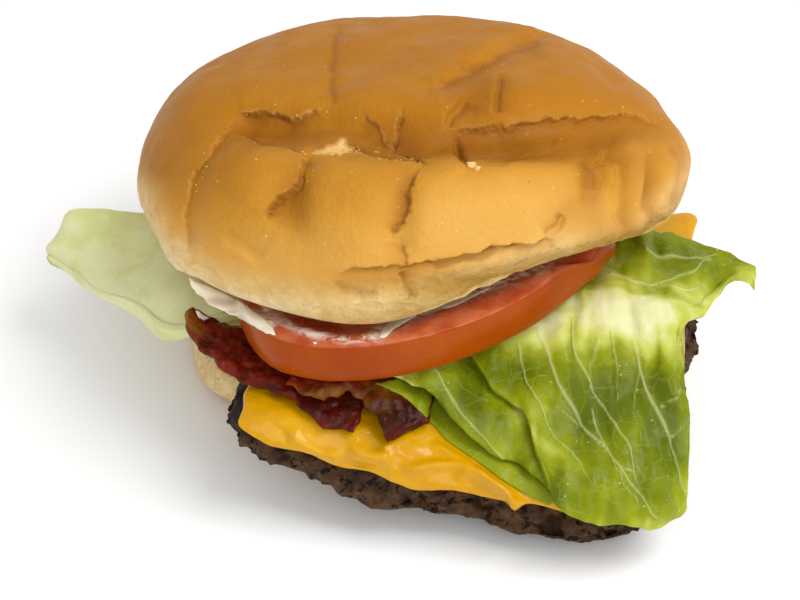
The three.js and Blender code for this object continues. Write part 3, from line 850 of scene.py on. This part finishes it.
def shape_patty():
    patty = layer("patty", "beef_patty", 3)
    places, outward = corners(patty)
    wall = 1 - smooth((np.abs(outward[:, 2]) - 0.55) / 0.4)
    shaken = places + 0.9 * MM * drift(places, 3 * MM, 2)
    coarse = grains(shaken, 3.2 * MM) - 0.6
    fine = grains(shaken, 1.5 * MM) - 0.6
    relief = 1.0 * coarse + 0.7 * fine + 0.9 * lumps(places, 8 * MM, 3) + 0.5 * lumps(places, 2.4 * MM, 4)
    seen = picture_places(places)
    charred = spot(seen, 236, 408, 11, 32)
    relief *= (1 - 0.7 * charred) * wall
    high = smooth((places[:, 2] / MM - 17) / 4)
    relief -= 0.5 + 0.8 * high * wall
    rough = 0.9 * drift(places, 2.8 * MM, 6) + 0.5 * drift(places, 1.2 * MM, 9)
    places = places + outward * (relief * MM)[:, None]
    places = places + rough * MM * wall[:, None] + pulled(seen, PATTY_PULLS)
    places[:, 2] = np.maximum(places[:, 2], PATTY_LOWEST)
    move(patty, places)
    # Painted shade: darker where the grains dip.
    paint(patty, "hollow_shade", 0.4 - 1.1 * (coarse + 0.7 * fine) * wall)
    paint(patty, "seared", charred + 0.5 * smooth((lumps(places, 6 * MM, 8) - 0.15) / 0.3))
    return patty


def beef_finish():
    """Seared ground beef: brown-grey grains, nearly black at the seared corner and, as painted shade, where
    grains dip.
    """
    material, tree, shader = finish_of("Seared Beef", 0.6, Specular_IOR_Level=0.2)
    grain = ranged(tree, mottle(tree, 420, 6, 0.7), 0.3, 0.7)
    meat = blend(tree, grain, tone("#362516"), tone("#664b33"))
    warm = blend(tree, ranged(tree, mottle(tree, 140, 3), 0.45, 0.7), meat, tone("#603c20"))
    seared = blend(tree, kept(tree, "seared"), warm, tone("#26160c"))
    # Painted shade in small pits and where the grains dip; the pits are bumped as well.
    pits = ranged(tree, mottle(tree, 620, 3, 0.6, 0.5), 0.56, 0.66)
    shade = sums(tree, "MAXIMUM", ranged(tree, kept(tree, "hollow_shade"), 0.6, 1.0, 0.0, 0.8), pits)
    feed(shader, "Base Color", blend(tree, shade, seared, tone("#1c1008")))
    rough = plus(tree, mottle(tree, 600, 6, 0.7), times(tree, pits, -0.5))
    feed(shader, "Normal", bumped(tree, rough, 0.0012))
    feed(shader, "Roughness", ranged(tree, mottle(tree, 220, 3), 0.35, 0.65, 0.3, 0.75))
    return material


wear(shape_patty(), beef_finish())


# Cheese

# Folds of the melted slice in picture pixels, each with its height and width in millimetres.
MELT_RIDGES = [
    ([(285, 430), (300, 443), (320, 453), (345, 462)], 0.7, 1.1),
    ([(345, 448), (375, 459), (395, 457)], 0.5, 1.2),
    ([(400, 470), (425, 466), (450, 462), (470, 470)], 0.6, 1.0),
    ([(455, 482), (465, 474), (480, 478), (500, 488), (525, 503)], 0.7, 0.9),
    ([(455, 462), (480, 475), (505, 490), (530, 508)], 0.6, 0.8),
    ([(262, 418), (285, 436), (320, 455), (360, 470), (400, 478)], -0.4, 1.2),
    ([(430, 440), (455, 455), (480, 470)], 0.45, 0.9),
]
CHEESE_PULLS = [
    (254, 428, 18, 16, -2.6, 0.2),
    (250, 396, 12, 14, -1.1, 0.2),
    (688, 222, 14, 18, 1.4, 0.8),
]


def shape_cheese():
    cheese = layer("cheese", "cheese_slice", 3)
    places, outward = corners(cheese)
    seen = picture_places(places)
    seen += 3 * wobble(places, 5 * MM, 3, 6)
    front = smooth(facing(places, outward) / 0.3)
    relief = np.zeros(len(places))
    for line, height, width in MELT_RIDGES:
        distance, _, share = beside(seen, line)
        relief += height * bell(distance / PIXELS_PER_MM, width) * fading(share, 0.2)
    relief = relief * front * 2.0 + 0.25 * lumps(places, 5 * MM, 1) + 0.14 * lumps(places, 2 * MM, 8)
    sway = 0.35 * drift(places, 9 * MM, 4) + 0.12 * drift(places, 3 * MM, 5)
    move(cheese, places + outward * (relief * MM)[:, None] + sway * MM + pulled(seen, CHEESE_PULLS))
    return cheese


def cheese_finish():
    """Melted processed cheese: even deep yellow, wet gloss on its folds."""
    material, tree, shader = finish_of(
        "Melted Cheese", 0.2, Subsurface_Weight=0.05, Subsurface_Scale=0.002, Specular_IOR_Level=0.12,
        Coat_Weight=0.3, Coat_Roughness=0.06, Subsurface_Radius=(1.0, 0.5, 0.05)
    )
    patches = ranged(tree, mottle(tree, 120, 4), 0.3, 0.7)
    feed(shader, "Base Color", blend(tree, patches, tone("#c48c00"), tone("#cf9900")))
    feed(shader, "Normal", bumped(tree, mottle(tree, 220, 3, 0.5, 0.6), 0.0004))
    feed(shader, "Roughness", ranged(tree, mottle(tree, 180, 3), 0.35, 0.65, 0.08, 0.22))
    return material


cheese_slice = wear(shape_cheese(), cheese_finish())


# Bacon

BACON_PULLS = [(410, 436, 18, 12, -3.6, -0.8), (196, 318, 10, 14, -0.5, 0.2)]


def shape_bacon(node, name, fat_lines):
    rasher = layer(node, name, 3)
    places, outward = corners(rasher)
    seen = picture_places(places)
    sway = 0.6 * drift(places, 5 * MM, 1) + 0.4 * drift(places, 2.2 * MM, 2)
    relief = 0.3 * (grains(places, 2.0 * MM) - 0.6) + 0.35 * lumps(places, 2.6 * MM, 5)
    paint(rasher, "fat", drawn(seen + 6 * wobble(places, 6 * MM, 3, 7), fat_lines))
    # Two soft patches near the front rasher's middle, painted darker.
    paint(rasher, "darker_patches", 0.9 * spot(seen, 400, 415, 44, 28) + 0.6 * spot(seen, 318, 412, 40, 18))
    move(rasher, places + outward * (relief * MM)[:, None] + sway * MM + pulled(seen, BACON_PULLS))
    return rasher


def bacon_finish():
    """Crisp bacon: dark red lean, amber fat, oily gloss."""
    material, tree, shader = finish_of("Crisp Bacon", 0.3, Specular_IOR_Level=0.16)
    strands = ranged(tree, mottle(tree, 260, 5, 0.65, 0.6), 0.3, 0.7)
    lean = blend(tree, strands, tone("#3e0a04"), tone("#7a1f0e"))
    fat = blend(tree, strands, tone("#562a03"), tone("#8e560e"))
    striped = blend(tree, kept(tree, "fat"), lean, fat)
    feed(shader, "Base Color", blend(tree, kept(tree, "darker_patches"), striped, tone("#2a0c04")))
    bubbles = plus(tree, mottle(tree, 500, 5, 0.6), times(tree, cells(tree, 600), 0.5))
    feed(shader, "Normal", bumped(tree, bubbles, 0.0004))
    feed(shader, "Roughness", ranged(tree, mottle(tree, 300, 3), 0.35, 0.65, 0.14, 0.36))
    return material


# Bands of fat in picture pixels, with their width.
LEFT_FAT = [([(188, 305), (190, 318), (200, 330)], 7)]
FRONT_FAT = [
    ([(292, 402), (316, 397), (342, 396), (366, 402), (384, 410)], 11),
    ([(372, 384), (400, 398)], 8),
]
crisp_bacon = bacon_finish()
bacon_left = wear(shape_bacon("bacon_left", "bacon_rasher_left", LEFT_FAT), crisp_bacon)
bacon_front = wear(shape_bacon("bacon_front", "bacon_rasher_front", FRONT_FAT), crisp_bacon)


# Lettuce

# Midribs and side veins of the leaf in picture pixels, with their width in millimetres.
LEAF_VEINS = [
    ([(540, 330), (562, 387), (582, 425), (620, 465), (657, 517)], 1.0),
    ([(570, 320), (592, 397), (615, 420), (630, 450), (637, 480)], 0.7),
    ([(632, 342), (647, 387), (662, 425), (675, 462), (682, 490)], 1.1),
    ([(520, 345), (528, 385), (545, 420), (565, 445)], 0.6),
    ([(592, 410), (600, 440), (618, 470)], 0.45),
    ([(612, 332), (614, 365), (618, 400)], 0.4),
    ([(600, 340), (590, 365), (588, 392)], 0.4),
    ([(657, 412), (675, 402), (684, 385)], 0.4),
    ([(668, 440), (680, 428), (686, 415)], 0.4),
    ([(640, 372), (632, 392), (630, 415)], 0.4),
    ([(578, 424), (565, 410), (552, 404)], 0.4),
    ([(620, 465), (630, 470), (645, 468)], 0.4),
    ([(620, 465), (625, 485), (642, 505)], 0.45),
    ([(565, 445), (580, 462), (590, 480)], 0.4),
    ([(645, 250), (670, 256), (700, 262), (718, 252)], 0.8),
    ([(610, 275), (650, 283), (690, 272), (712, 258)], 0.8),
    ([(660, 283), (690, 290), (706, 286)], 0.6),
    ([(430, 370), (465, 420), (505, 462), (540, 490)], 0.6),
    ([(405, 380), (440, 410), (475, 445)], 0.5),
]
# Soft patches of the leaf: across, down, half width, half height, and how green.
LEAF_GREENS = [
    (625, 390, 55, 42, 0.55),
    (665, 420, 26, 60, 0.5),
    (600, 450, 50, 40, 0.35),
    (640, 500, 50, 30, 0.3),
    (540, 480, 60, 45, 0.38),
    (700, 262, 60, 24, 0.3),
    (735, 268, 26, 14, 0.2),
    (660, 245, 40, 14, 0.3),
    (465, 405, 50, 45, 0.6),
    (520, 500, 50, 20, 0.3),
    (518, 372, 34, 26, 0.5),
    (590, 400, 34, 40, 0.3),
    (665, 460, 24, 34, 0.2),
]
# Patches that are paler instead.
LEAF_PALES = [
    (620, 318, 70, 22, 0.33),
    (515, 345, 26, 14, 0.2),
    (100, 245, 90, 60, 0.6),
]
# Where the green lobe turns down into the pale panel, in picture pixels.
LOBE_TURN = [(560, 287), (586, 291), (620, 294), (650, 298), (680, 303), (706, 309)]
# The leaf's pale rolled edge over the under fold, in picture pixels.
LEAF_ROLL = [(466, 340), (472, 352), (480, 375), (490, 392), (510, 412), (530, 432), (556, 450), (584, 468)]
LEAF_PULLS = [
    (80, 216, 22, 14, -1.8, 0.9),
    (50, 248, 8, 8, -0.8, 0.0),
    (68, 276, 20, 10, 0.2, 0.8),
    (165, 318, 44, 15, 0.0, -4.4),
    (744, 284, 20, 14, 0.9, 2.8),
    (692, 335, 12, 24, -1.7, 0.0),
    (686, 380, 10, 12, -0.9, 0.0),
    (688, 450, 12, 40, 0.3, 0.0),
    (678, 512, 14, 12, 1.2, -0.4),
    (652, 525, 14, 8, 0.0, 0.8),
]
# The under fold's free edge in picture pixels, and how far it swells up under the leaf beside it.
FOLD_EDGE = [(385, 377), (422, 397), (440, 412), (457, 437), (477, 452), (500, 467), (520, 487), (545, 505)]
FOLD_SWELL = 1.9


def fold_lift(seen):
    distance, _, _ = beside(seen, FOLD_EDGE)
    return FOLD_SWELL * smooth(distance / 40)


def level(seen):
    return np.zeros(len(seen))


def shape_lettuce(node, name, levels, refined, lift_of=level):
    leaf = layer(node, name, levels)
    if refined:
        refine(leaf, lambda middle, outward: (facing(middle, outward) > 0.1) & (middle[:, 0] > 2 * MM))
    places, outward = corners(leaf)
    seen = picture_places(places)
    front = smooth(facing(places, outward) / 0.15)
    vein = np.zeros(len(places))
    bent = seen + 2.5 * wobble(places, 6 * MM, 2, 9)
    for line, width in LEAF_VEINS:
        distance, _, share = beside(bent, line)
        reach = width * (1 - 0.6 * share) * PIXELS_PER_MM * 0.4
        vein = np.maximum(vein, bell(distance, reach))
    blade = smooth((places[:, 0] / MM + 50) / 20)
    green = 0.28 * blade
    for across, down, wide, high, amount in LEAF_GREENS:
        green = green + amount * spot(seen, across, down, wide, high) * blade
    for across, down, wide, high, amount in LEAF_PALES:
        green = green - amount * spot(seen, across, down, wide, high)
    turn, side, _ = beside(bent, LOBE_TURN)
    # Greener on the lobe's side of the turn, partly the lobe's own green and partly painted shade behind the
    # fold; paler on the panel's side.
    green += 0.16 * smooth(turn / 4) * (side < 0) * spot(seen, 665, 262, 75, 40)
    green -= 0.15 * np.exp(-turn / 26) * (side > 0) * spot(seen, 650, 310, 65, 40)
    rolled, _, _ = beside(bent, LEAF_ROLL)
    green = green - 0.2 * bell(rolled, 7) + 0.12 * lumps(places, 7 * MM, 4)
    green += 0.2 * lumps(places * (1, 0.3, 0.3), 2.2 * MM, 15) * blade
    along_fall = places * (1, 0.28, 0.28)
    crinkle = 0.45 * drift(places, 8 * MM, 3) + 0.9 * drift(along_fall, 3.4 * MM, 5)
    crinkle *= (0.25 + 0.75 * blade)[:, None]
    crinkle += 0.16 * drift(places, 1.8 * MM, 7)
    lifted = lift_of(seen)[:, None] * UPWARDS
    raised = 0.14 * vein * front
    toothed = 0.35 * lumps(places, 2.2 * MM, 13) * smooth((seen[:, 0] - 660) / 20)
    crinkle += toothed[:, None] * RIGHTWARDS
    move(leaf, places + (crinkle + lifted) * MM + outward * (raised * MM)[:, None] + pulled(seen, LEAF_PULLS))
    paint(leaf, "vein", vein * (0.3 + 0.7 * front))
    paint(leaf, "green", green)
    return leaf


def lettuce_finish():
    """Crisp wet lettuce, a little light shining through it."""
    material, tree, shader = finish_of(
        "Crisp Lettuce", 0.3, Subsurface_Weight=0.2, Subsurface_Scale=0.0015, Specular_IOR_Level=0.11,
        Subsurface_Radius=(0.8, 1.0, 0.3)
    )
    blade = use(tree, lettuce_blade, Green=kept(tree, "green"), Vein=kept(tree, "vein"))
    feed(shader, "Base Color", blade["Color"])
    feed(shader, "Normal", bumped(tree, blade["Height"], 0.0004))
    feed(shader, "Roughness", blade["Gloss"])
    return material


crisp_lettuce = lettuce_finish()
wear(shape_lettuce("lettuce_leaf", "lettuce_blade", 2, True), crisp_lettuce)
wear(shape_lettuce("lettuce_fold", "lettuce_under_fold", 3, False, fold_lift), crisp_lettuce)


# Tomato

# The slice in millimetres: the middle and height of its underside, its slope to the right and to the
# back, how it curls up to the right, its thickness, and how far its rim is raised in front.
TOMATO_MIDDLE = (-1, -32)
TOMATO_LOW = 30.4
TOMATO_SLOPES = (0.06, -0.05)
TOMATO_CURL = 0.003
TOMATO_THICKNESS = 7.2
RAISED_RIM = 1.7
# Smears of sauce on the tomato's cut face and rim, in picture pixels, and how wide they are.
TOMATO_SMEARS = [
    ([(375, 340), (388, 328), (405, 320), (440, 306), (490, 288), (545, 272)], 8),
    ([(262, 308), (285, 328), (310, 340), (345, 346), (375, 344)], 4),
    ([(232, 305), (250, 318), (270, 330)], 6),
]
TOMATO_PULLS = [
    (565, 284, 40, 9, 0.0, 0.7),
    (588, 272, 26, 20, 1.2, -0.3),
    (612, 252, 13, 12, 1.8, 0.2),
]


def shape_tomato():
    tomato = layer("tomato", "tomato_slice", 3)
    places, outward = corners(tomato)
    x, y, z = (places / MM).T
    right = x - TOMATO_MIDDLE[0]
    back = y - TOMATO_MIDDLE[1]
    low = TOMATO_LOW + TOMATO_SLOPES[0] * right + TOMATO_SLOPES[1] * back
    low = low + TOMATO_CURL * np.maximum(0, right) ** 2
    share = np.clip((z - low) / TOMATO_THICKNESS, 0, 1)
    seen = picture_places(places)
    rim, side, _ = beside(seen, CROWN_RIM)
    raised = RAISED_RIM * share * smooth(rim / (24 - 12 * smooth((seen[:, 0] - 480) / 80))) * (side > 0)
    wall = 1 - smooth((np.abs(outward[:, 2]) - 0.6) / 0.25)
    relief = 0.25 * lumps(places, 12 * MM, 1) * wall + 0.2 * lumps(places, 3 * MM, 2) * (1 - wall)
    places = places + outward * (relief * MM)[:, None]
    places[:, 2] += raised * MM
    move(tomato, places + pulled(seen, TOMATO_PULLS))
    paint(tomato, "skin", wall)
    paint(tomato, "smear", drawn(seen, TOMATO_SMEARS) * (1 - 0.7 * wall))
    return tomato


def tomato_finish():
    """Ripe tomato: smooth orange-red skin, and wet pinkish flesh on the cut faces."""
    material, tree, shader = finish_of(
        "Ripe Tomato", 0.22, Subsurface_Weight=0.08, Subsurface_Scale=0.002, Specular_IOR_Level=0.12,
        Subsurface_Radius=(1.0, 0.3, 0.1)
    )
    patches = ranged(tree, mottle(tree, 60, 4), 0.3, 0.7)
    skin = blend(tree, patches, tone("#943a02"), tone("#a24804"))
    flesh = blend(tree, ranged(tree, mottle(tree, 200, 5), 0.3, 0.7), tone("#a84320"), tone("#be6842"))
    sliced = blend(tree, kept(tree, "skin"), flesh, skin)
    streaks = ranged(tree, mottle(tree, 340, 5, 0.65, 0.8), 0.4, 0.58)
    smeared = times(tree, kept(tree, "smear"), times(tree, streaks, 0.95))
    feed(shader, "Base Color", blend(tree, smeared, sliced, tone("#f4ecdf")))
    # Only a fine bump of the moist flesh here, no painted colour.
    wet_bumps_and_painted_glints = times(tree, mottle(tree, 320, 5), ranged(tree, kept(tree, "skin"), 0.0, 1.0, 1.0, 0.12))
    feed(shader, "Normal", bumped(tree, wet_bumps_and_painted_glints, 0.0004))
    feed(shader, "Roughness", ranged(tree, mottle(tree, 150, 3), 0.3, 0.7, 0.2, 0.34))
    return material


tomato_slice = wear(shape_tomato(), tomato_finish())


# The thin third fold of the leaf, behind the under fold

THIRD_FOLD = [(372, 383), (402, 397), (427, 420), (445, 441), (477, 463), (500, 480), (528, 498), (548, 507),
              (562, 500), (545, 476), (500, 450), (478, 430), (458, 405), (430, 386), (399, 377)]
THIRD_FOLD_THICKNESS = 0.6 * MM
under_it = [cheese_slice, bacon_front]
third_fold = film("lettuce_third_fold", THIRD_FOLD, THIRD_FOLD_THICKNESS, under_it, bridging=4, settle=12)
paint(third_fold, "green", np.full(len(third_fold.data.vertices), 0.58))
paint(third_fold, "vein", np.zeros(len(third_fold.data.vertices)))
wear(third_fold, crisp_lettuce)


# Sauce and crumbs

def sauce_finish():
    """Mayonnaise: smooth, cream white and glossy."""
    material, tree, shader = finish_of("Mayonnaise", 0.28, Subsurface_Weight=0.15, Subsurface_Scale=0.001)
    patches = ranged(tree, mottle(tree, 170, 4), 0.4, 0.7)
    feed(shader, "Base Color", blend(tree, patches, tone("#eee4cf"), tone("#e6d8bc")))
    feed(shader, "Normal", bumped(tree, mottle(tree, 240, 4), 0.0003))
    return material


# Spots of sauce in picture pixels, with their thickness in millimetres.
SAUCE_OUTLINES = [
    ("mayo_streak", 0.9, [(187, 275), (196, 280), (210, 285), (226, 292), (246, 303), (264, 316), (274, 326),
                          (278, 337), (266, 335), (250, 326), (234, 317), (220, 311), (207, 305), (203, 299),
                          (196, 295), (190, 287)]),
    ("mayo_dab", 0.8, [(377, 339), (381, 327), (391, 318), (406, 311), (424, 305), (430, 307), (416, 317),
                       (403, 325), (394, 330), (386, 339)]),
    ("mayo_smear", 0.5, [(436, 307), (452, 298), (470, 292), (488, 286), (492, 289), (474, 298), (458, 306),
                         (444, 311)]),
    ("mayo_spot_rim", 0.35, [(310, 342), (315, 340), (319, 343), (315, 346)]),
]
mayonnaise = sauce_finish()
BACON_SPOT = [(194, 310), (200, 306), (209, 311), (212, 318), (204, 322), (197, 318)]
wear(film("mayo_spot_bacon", BACON_SPOT, 0.5 * MM, [bacon_left]), mayonnaise)
for name, thickness, outline in SAUCE_OUTLINES:
    carriers = [top_bun, tomato_slice] if name == "mayo_streak" else [tomato_slice]
    wear(film(name, outline, thickness * MM, carriers, bridging=60, settle=8), mayonnaise)


def crumb_finish():
    """Torn bits like the buns' inside, a little darker."""
    material, tree, shader = finish_of("Torn Crumb", 0.8, Specular_IOR_Level=0.2)
    inner = use(tree, bread_crumb, Light=tone("#e6c280"), Dark=tone("#cf9f55"))
    feed(shader, "Base Color", inner["Color"])
    feed(shader, "Normal", bumped(tree, inner["Height"], 0.0002))
    return material


TORN_EDGES = [CRUST_LINES[1]["line"], CRUST_LINES[5]["line"], [(206, 166), (187, 211)],
              [(300, 154), (330, 152), (356, 149)], [(630, 248), (652, 242)]]
# Small crumbs along the torn edges: how far apart and how far off the line in pixels, and their radii in
# millimetres. Then the two large ones: their places in the picture and their radii.
CRUMB_SPACING = 9
CRUMB_SCATTER = 1.8
CRUMB_RADII = (0.08, 0.2)
LARGE_CRUMBS = [((472, 167), 0.9), ((476, 169), 0.7)]
draw = random.Random(11)
on_crown = meeting([top_bun])
torn = []
for line in TORN_EDGES:
    for start, end in zip(line, line[1:]):
        span = math.dist(start, end)
        for _ in range(int(span / CRUMB_SPACING) + 1):
            t = draw.random()
            across = start[0] + (end[0] - start[0]) * t + draw.uniform(-CRUMB_SCATTER, CRUMB_SCATTER)
            down = start[1] + (end[1] - start[1]) * t + draw.uniform(-CRUMB_SCATTER, CRUMB_SCATTER)
            met = on_crown(across, down)
            if met:
                torn.append((met, draw.uniform(*CRUMB_RADII) * MM))
for place, radius in LARGE_CRUMBS:
    torn.append((on_crown(*place), radius * MM))
wear(crumbs("torn_crumbs", torn), crumb_finish())


# Camera, light and floor

ROOM_LIGHT = 0.75
FLOOR_DROP = 0.2 * MM


def light(name, place, aim, size, power):
    bpy.ops.object.light_add(type="AREA", location=place)
    lamp = bpy.context.object
    lamp.name = name
    lamp.data.shape = "SQUARE"
    lamp.data.size = size
    lamp.data.energy = power
    lamp.rotation_euler = (Vector(aim) - Vector(place)).to_track_quat("-Z", "Y").to_euler()


bpy.ops.object.camera_add(location=EYE, rotation=(math.pi / 2 - LOOK_DOWN, 0, 0))
camera = bpy.context.object
camera.data.lens = LENS_MM
camera.data.sensor_width = SENSOR_MM
camera.data.clip_start = 0.01
bpy.context.scene.camera = camera

light("Soft Light Above", (0.4, -0.16, 0.7), (0, -0.02, 0.02), 0.45, 3.9)
light("Fill Light Front", (0.12, -0.75, 0.5), (0, -0.02, 0.02), 0.6, 2.2)

world = bpy.data.worlds.new("Pale Room")
world.use_nodes = True
world.node_tree.nodes["Background"].inputs["Color"].default_value = (1, 1, 1, 1)
world.node_tree.nodes["Background"].inputs["Strength"].default_value = ROOM_LIGHT
bpy.context.scene.world = world
bpy.context.scene.view_settings.view_transform = "Standard"

bpy.ops.mesh.primitive_plane_add(size=6, location=(0, 0, -FLOOR_DROP))
floor = bpy.context.object
floor.name = "floor"
floor_finish, _, _ = finish_of("Pale Floor", 0.6, Base_Color=(0.93, 0.93, 0.93, 1))
floor.data.materials.append(floor_finish)
